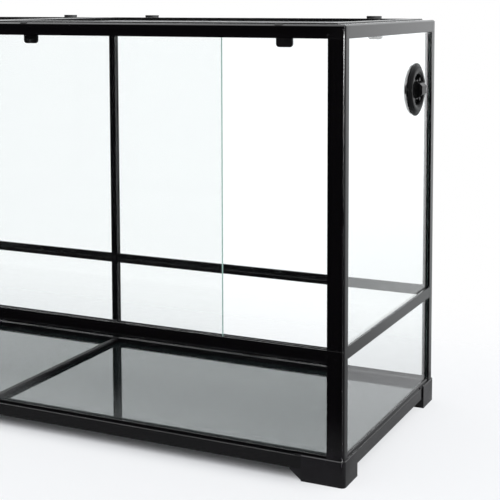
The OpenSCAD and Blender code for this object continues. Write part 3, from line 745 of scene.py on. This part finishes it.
# %% The wires of one direction
# An edge that reaches along drop_axis belongs to the other direction and is dropped
def wires_one_way(tree, grid, given, drop_axis, sign):
    ends = tree.nodes.new("GeometryNodeInputMeshEdgeVertices").outputs
    reach = vector_node(tree, "SUBTRACT", ends["Position 1"], ends["Position 2"])["Vector"]
    length = math_node(tree, "ABSOLUTE", axes_of(tree, reach)[drop_axis])
    half_pitch = math_node(tree, "MULTIPLY", given["Pitch"], 0.5)
    crossing = math_node(tree, "GREATER_THAN", length, half_pitch)
    kept = add(tree, "GeometryNodeDeleteGeometry", {"domain": "EDGE", "mode": "EDGE_FACE"},
               Geometry=grid, Selection=crossing).outputs[0]
    bent = bend_over_and_under(tree, kept, given, sign)
    curves = add(tree, "GeometryNodeMeshToCurve", Mesh=bent).outputs[0]
    section = add(tree, "GeometryNodeCurvePrimitiveCircle", Resolution=WIRE_SIDES,
                  Radius=given["Wire Radius"]).outputs[0]
    return add(tree, "GeometryNodeCurveToMesh", Curve=curves, Profile_Curve=section,
               Fill_Caps=True).outputs[0]


# A grid with one corner at the origin, so that each crossing lies at whole pitches
def grid_of_crossings(tree, given):
    sides = []
    for count in ("Columns", "Rows"):
        gaps = math_node(tree, "SUBTRACT", given[count], 1.0)
        sides.append(math_node(tree, "MULTIPLY", given["Pitch"], gaps))
    grid = add(tree, "GeometryNodeMeshGrid", Size_X=sides[0], Size_Y=sides[1],
               Vertices_X=given["Columns"], Vertices_Y=given["Rows"]).outputs["Mesh"]
    corner = add(tree, "ShaderNodeCombineXYZ", X=math_node(tree, "MULTIPLY", sides[0], 0.5),
                 Y=math_node(tree, "MULTIPLY", sides[1], 0.5)).outputs[0]
    return add(tree, "GeometryNodeSetPosition", Geometry=grid, Offset=corner).outputs[0]


print("sides of a wire:", WIRE_SIDES)


# %% The whole weave
def geometry_input(tree, title, kind, default=None):
    socket = tree.interface.new_socket(title, in_out="INPUT", socket_type=kind)
    if default is not None:
        socket.default_value = default
    return socket


def make_weave_tree():
    tree = bpy.data.node_groups.new("woven_wire", "GeometryNodeTree")
    tree.interface.new_socket("Geometry", in_out="OUTPUT", socket_type="NodeSocketGeometry")
    sockets = [
        geometry_input(tree, "Columns", "NodeSocketInt", 10),
        geometry_input(tree, "Rows", "NodeSocketInt", 10),
        geometry_input(tree, "Pitch", FLOAT, MESH_PITCH),
        geometry_input(tree, "Wire Radius", FLOAT, WIRE_RADIUS),
        geometry_input(tree, "Wire", "NodeSocketMaterial"),
    ]
    given = tree.nodes.new("NodeGroupInput").outputs
    grid = grid_of_crossings(tree, given)
    joined = tree.nodes.new("GeometryNodeJoinGeometry")
    for drop_axis, sign in (("Y", 1.0), ("X", -1.0)):
        tree.links.new(wires_one_way(tree, grid, given, drop_axis, sign), joined.inputs[0])
    real = add(tree, "GeometryNodeRealizeInstances", Geometry=joined.outputs[0]).outputs[0]
    painted = add(tree, "GeometryNodeSetMaterial", Geometry=real, Material=given["Wire"])
    tree.links.new(painted.outputs[0], tree.nodes.new("NodeGroupOutput").inputs[0])
    return tree, {socket.name: socket.identifier for socket in sockets}


weave_tree, weave_inputs = make_weave_tree()
print("weave inputs:", sorted(weave_inputs))


# %% Weave the mesh of both lids
def weave(side):
    plate = "lid_mesh_" + side
    low, high = corners(plate)
    width, depth = high.x - low.x, high.y - low.y
    columns = int(width / MESH_PITCH)
    rows = int(depth / MESH_PITCH)
    piece = bpy.data.objects.new("woven_wire_" + side, bpy.data.meshes.new("wire"))
    bpy.context.scene.collection.objects.link(piece)
    modifier = piece.modifiers.new("weave", "NODES")
    modifier.node_group = weave_tree
    values = {"Columns": columns, "Rows": rows, "Pitch": MESH_PITCH,
              "Wire Radius": WIRE_RADIUS, "Wire": mesh_steel}
    for name, value in values.items():
        modifier[weave_inputs[name]] = value
    bake_modifiers(piece)
    slack_x = (width - (columns - 1) * MESH_PITCH) / 2
    slack_y = (depth - (rows - 1) * MESH_PITCH) / 2
    middle = (low.z + high.z) / 2
    piece.data.transform(Matrix.Translation((low.x + slack_x, low.y + slack_y, middle)))
    piece.data.shade_smooth()
    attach(piece, side + "_lid")
    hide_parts(plate)
    triangles = sum(len(face.vertices) - 2 for face in piece.data.polygons)
    print(piece.name, "wires", columns + rows, "triangles", triangles)


for side in ("left", "right"):
    weave(side)

# %% [markdown]
# ## Floor
# The tank stands on a plain pale surface that runs out into the white of the studio. A wide
# sheet of paper curved up behind the tank would do that in a real studio. Here a flat disc
# fades out towards its rim and behind the tank, so there is no horizon line. Most of its
# brightness is its own glow, which keeps it near white without more light on the tank. The
# glow stops in a box under the tank, where no light would reach: that box is a painted shade,
# and the matt colour that is left takes the real soft shadow as well. Rays that come off a
# mirroring face meet a dimmer floor, which is gone a short way in front of the tank: otherwise
# the doors would show a pale ghost of it.

# %% Where the floor glows
FLOOR_COLOUR = (0.955, 0.965, 0.98)
FLOOR_GLOW = 0.76
# A floor that is seen through a pane glows a little more, one that is mirrored less
GAIN_THROUGH_GLASS = 0.08
GAIN_MIRRORED = -0.55
# A ray's depth counts its bounces, so a half parts none from one or more
ANY_BOUNCE = 0.5
# The painted shade under the tank, where the glow stops, starts at the first value and is full
# at the second
PAINTED_SHADE_X = (right_face, right_face - 100 * MM)
PAINTED_SHADE_Y = (rear_face + 42 * MM, rear_face - 25 * MM)


# Painted shade: 1 on the open floor, falling to 0 in a box under the tank's footprint, where
# the glow is taken away
def glow_outside_painted_shade(tree, place):
    under_x = ramp_between(tree, math_node(tree, "ABSOLUTE", place["X"]), *PAINTED_SHADE_X)
    under_y = ramp_between(tree, math_node(tree, "ABSOLUTE", place["Y"]), *PAINTED_SHADE_Y)
    return math_node(tree, "SUBTRACT", 1.0, math_node(tree, "MULTIPLY", under_x, under_y))


def glowing_floor(tree, matt, place, path, after_mirror):
    gain = math_node(tree, "MULTIPLY_ADD", path["Is Transmission Ray"], GAIN_THROUGH_GLASS,
                     1.0)
    gain = math_node(tree, "MULTIPLY_ADD", after_mirror, GAIN_MIRRORED, gain)
    glow = add(tree, "ShaderNodeEmission", Color=opaque(FLOOR_COLOUR), Strength=gain)
    direct = math_node(tree, "LESS_THAN", path["Diffuse Depth"], ANY_BOUNCE)
    # The glow's share is taken away in the painted shade under the tank
    share = math_node(tree, "MULTIPLY", math_node(tree, "MULTIPLY", direct, FLOOR_GLOW),
                      glow_outside_painted_shade(tree, place))
    return mix_shaders(tree, share, matt, glow)


print("shade under the tank:", [round(edge, 3) for edge in (*PAINTED_SHADE_X, *PAINTED_SHADE_Y)])

# %% Where the floor fades
FLOOR_RADIUS = 3.2
FLOOR_SEGMENTS = 96
# The disc is whole at the first value and gone at the second, in metres
FADE_OUTWARDS = (1.15, 2.6)
FADE_BEHIND = (rear_face + 50 * MM, rear_face + 700 * MM)
FADE_MIRRORED = (front_face, front_face - 260 * MM)


def faded_floor(tree, place, after_mirror):
    distance = vector_node(tree, "LENGTH", object_place(tree))["Value"]
    outwards = ramp_between(tree, distance, *FADE_OUTWARDS)
    behind = ramp_between(tree, place["Y"], *FADE_BEHIND)
    ahead = ramp_between(tree, place["Y"], *FADE_MIRRORED)
    mirrored = math_node(tree, "MULTIPLY", ahead, after_mirror)
    fade = math_node(tree, "MAXIMUM", outwards, behind)
    return math_node(tree, "MAXIMUM", fade, mirrored)


def floor_material():
    material, tree, matt = new_material("studio_floor")
    set_values(matt, Base_Color=opaque(FLOOR_COLOUR), Roughness=0.9, Specular_IOR_Level=0.1)
    path = tree.nodes.new("ShaderNodeLightPath").outputs
    after_mirror = math_node(tree, "GREATER_THAN", path["Glossy Depth"], ANY_BOUNCE)
    place = axes_of(tree, object_place(tree))
    lit = glowing_floor(tree, matt, place, path, after_mirror)
    clear = tree.nodes.new("ShaderNodeBsdfTransparent")
    fade = faded_floor(tree, place, after_mirror)
    show_surface(tree, mix_shaders(tree, fade, lit, clear))
    return material


def make_floor():
    mesh = bpy.data.meshes.new("floor")
    work = bmesh.new()
    bmesh.ops.create_circle(work, cap_ends=True, segments=FLOOR_SEGMENTS,
                            radius=FLOOR_RADIUS)
    work.to_mesh(mesh)
    work.free()
    mesh.materials.append(floor_material())
    floor = bpy.data.objects.new("floor", mesh)
    bpy.context.scene.collection.objects.link(floor)


make_floor()
print("floor radius", FLOOR_RADIUS, "m")

# %% [markdown]
# ## Studio light
# The background is plain white and lights the tank evenly from all round. Glossy black plastic
# gets its depth from what it mirrors. Real soft boxes could stand round the tank for that, but
# they would light it as well. So mirrored rays meet a studio of their own: dark behind the
# camera, white behind the tank, dimmer towards the ground and brighter overhead. A small
# window of strong light to the front right draws the bright line on the rounded front edge of
# the top corner, and a much weaker one below it the line on the foot.

# %% What mirrored rays meet
OVERHEAD = (4.5, 4.55, 4.6)
MIRRORED_FRONT = (0.008, 0.008, 0.009)
MIRRORED_LOW = (0.72, 0.745, 0.75)
MIRRORED_HIGH = (1.56, 1.58, 1.6)
# Each pair says where along an axis of the direction a change starts and where it is full
BEHIND_Y = (-0.4, 0.1)
ABOVE_Z = (0.2, 0.6)
RAISED_Z = (-0.3, 0.0)
OVERHEAD_Z = (0.42, 0.6)


def studio_walls(tree, axes):
    behind = ramp_between(tree, axes["Y"], *BEHIND_Y)
    above = ramp_between(tree, axes["Z"], *ABOVE_Z)
    raised = ramp_between(tree, axes["Z"], *RAISED_Z)
    wall = mix_colours(tree, raised, MIRRORED_LOW, MIRRORED_HIGH)
    wall = mix_colours(tree, ramp_between(tree, axes["Z"], *OVERHEAD_Z), wall, OVERHEAD)
    lit = math_node(tree, "MAXIMUM", behind, above)
    return mix_colours(tree, lit, MIRRORED_FRONT, wall)


print("mirrored: front", MIRRORED_FRONT, "overhead", OVERHEAD)

# %% The window
WINDOW = (140.0, 141.0, 143.0)
WINDOW_FRONT_Y = (-0.7, -0.76)
WINDOW_RIGHT_X = (0.3, 0.36)
WINDOW_SILL_Z = (-0.034, -0.027)
WINDOW_TOP_Z = (0.07, 0.03)
LOW_WINDOW_Z = (-0.24, -0.3)
LOW_WINDOW_SHARE = 0.015


def window_mask(tree, axes):
    in_front = ramp_between(tree, axes["Y"], *WINDOW_FRONT_Y)
    to_the_right = ramp_between(tree, axes["X"], *WINDOW_RIGHT_X)
    level = ramp_between(tree, axes["Z"], *WINDOW_SILL_Z)
    low = math_node(tree, "MULTIPLY", ramp_between(tree, axes["Z"], *LOW_WINDOW_Z),
                    LOW_WINDOW_SHARE)
    level = math_node(tree, "MAXIMUM", level, low)
    level = math_node(tree, "MULTIPLY", level, ramp_between(tree, axes["Z"], *WINDOW_TOP_Z))
    side = math_node(tree, "MULTIPLY", in_front, to_the_right)
    return math_node(tree, "MULTIPLY", side, level)


print("window", WINDOW)

# %% World
AMBIENT = (0.96, 0.97, 0.99)
WHITE = (1.0, 1.0, 1.0)
SEEN_THROUGH_GLASS = (1.13, 1.15, 1.16)


def make_world():
    world = bpy.data.worlds.new("studio")
    world.use_nodes = True
    tree = world.node_tree
    tree.nodes.clear()
    axes = axes_of(tree, tree.nodes.new("ShaderNodeTexCoord").outputs["Generated"])
    mirrored = mix_colours(tree, window_mask(tree, axes), studio_walls(tree, axes), WINDOW)
    path = tree.nodes.new("ShaderNodeLightPath").outputs
    seen = mix_colours(tree, path["Is Transmission Ray"], WHITE, SEEN_THROUGH_GLASS)
    after_mirror = math_node(tree, "GREATER_THAN", path["Glossy Depth"], ANY_BOUNCE)
    after_matt = math_node(tree, "GREATER_THAN", path["Diffuse Depth"], ANY_BOUNCE)
    colour = mix_colours(tree, after_mirror, seen, mirrored)
    colour = mix_colours(tree, after_matt, colour, AMBIENT)
    background = add(tree, "ShaderNodeBackground", Color=colour, Strength=1.0)
    output = tree.nodes.new("ShaderNodeOutputWorld")
    tree.links.new(background.outputs[0], output.inputs["Surface"])
    bpy.context.scene.world = world
    return world


print("world", make_world().name)

# %% [markdown]
# ## Overhead lamp
# The world alone would leave the tank hovering, because light from all round casts no clear
# shadow. One wide lamp overhead gives the soft shadow that sets it down. It is kept out of
# mirrored rays, since those meet the painted studio instead.

# %% Overhead lamp
LAMP_AT = Vector((-0.3, 0.2, 3.2))
LAMP_AIMS_AT = Vector((0.0, 0.0, 0.3))
LAMP_WIDTH = 3.4
LAMP_DEPTH = 2.6
LAMP_POWER = 9.0


def make_lamp():
    data = bpy.data.lights.new("overhead", "AREA")
    data.shape = "RECTANGLE"
    data.size = LAMP_WIDTH
    data.size_y = LAMP_DEPTH
    data.energy = LAMP_POWER
    lamp = bpy.data.objects.new("overhead", data)
    lamp.location = LAMP_AT
    lamp.rotation_euler = (LAMP_AIMS_AT - LAMP_AT).to_track_quat("-Z", "Y").to_euler()
    lamp.visible_glossy = False
    bpy.context.scene.collection.objects.link(lamp)


make_lamp()
print("lamp power", LAMP_POWER, "W")

# %% [markdown]
# ## Picture settings
# Blender's usual view softens bright colours, as film does. The Standard view shows a colour
# as it was written, so a white floor stays white and the blacks keep their depth.

# %% Picture settings
bpy.context.scene.view_settings.view_transform = "Standard"
print("view transform", bpy.context.scene.view_settings.view_transform)

# %% [markdown]
# ## Finish

# %% Finish
print("finished")
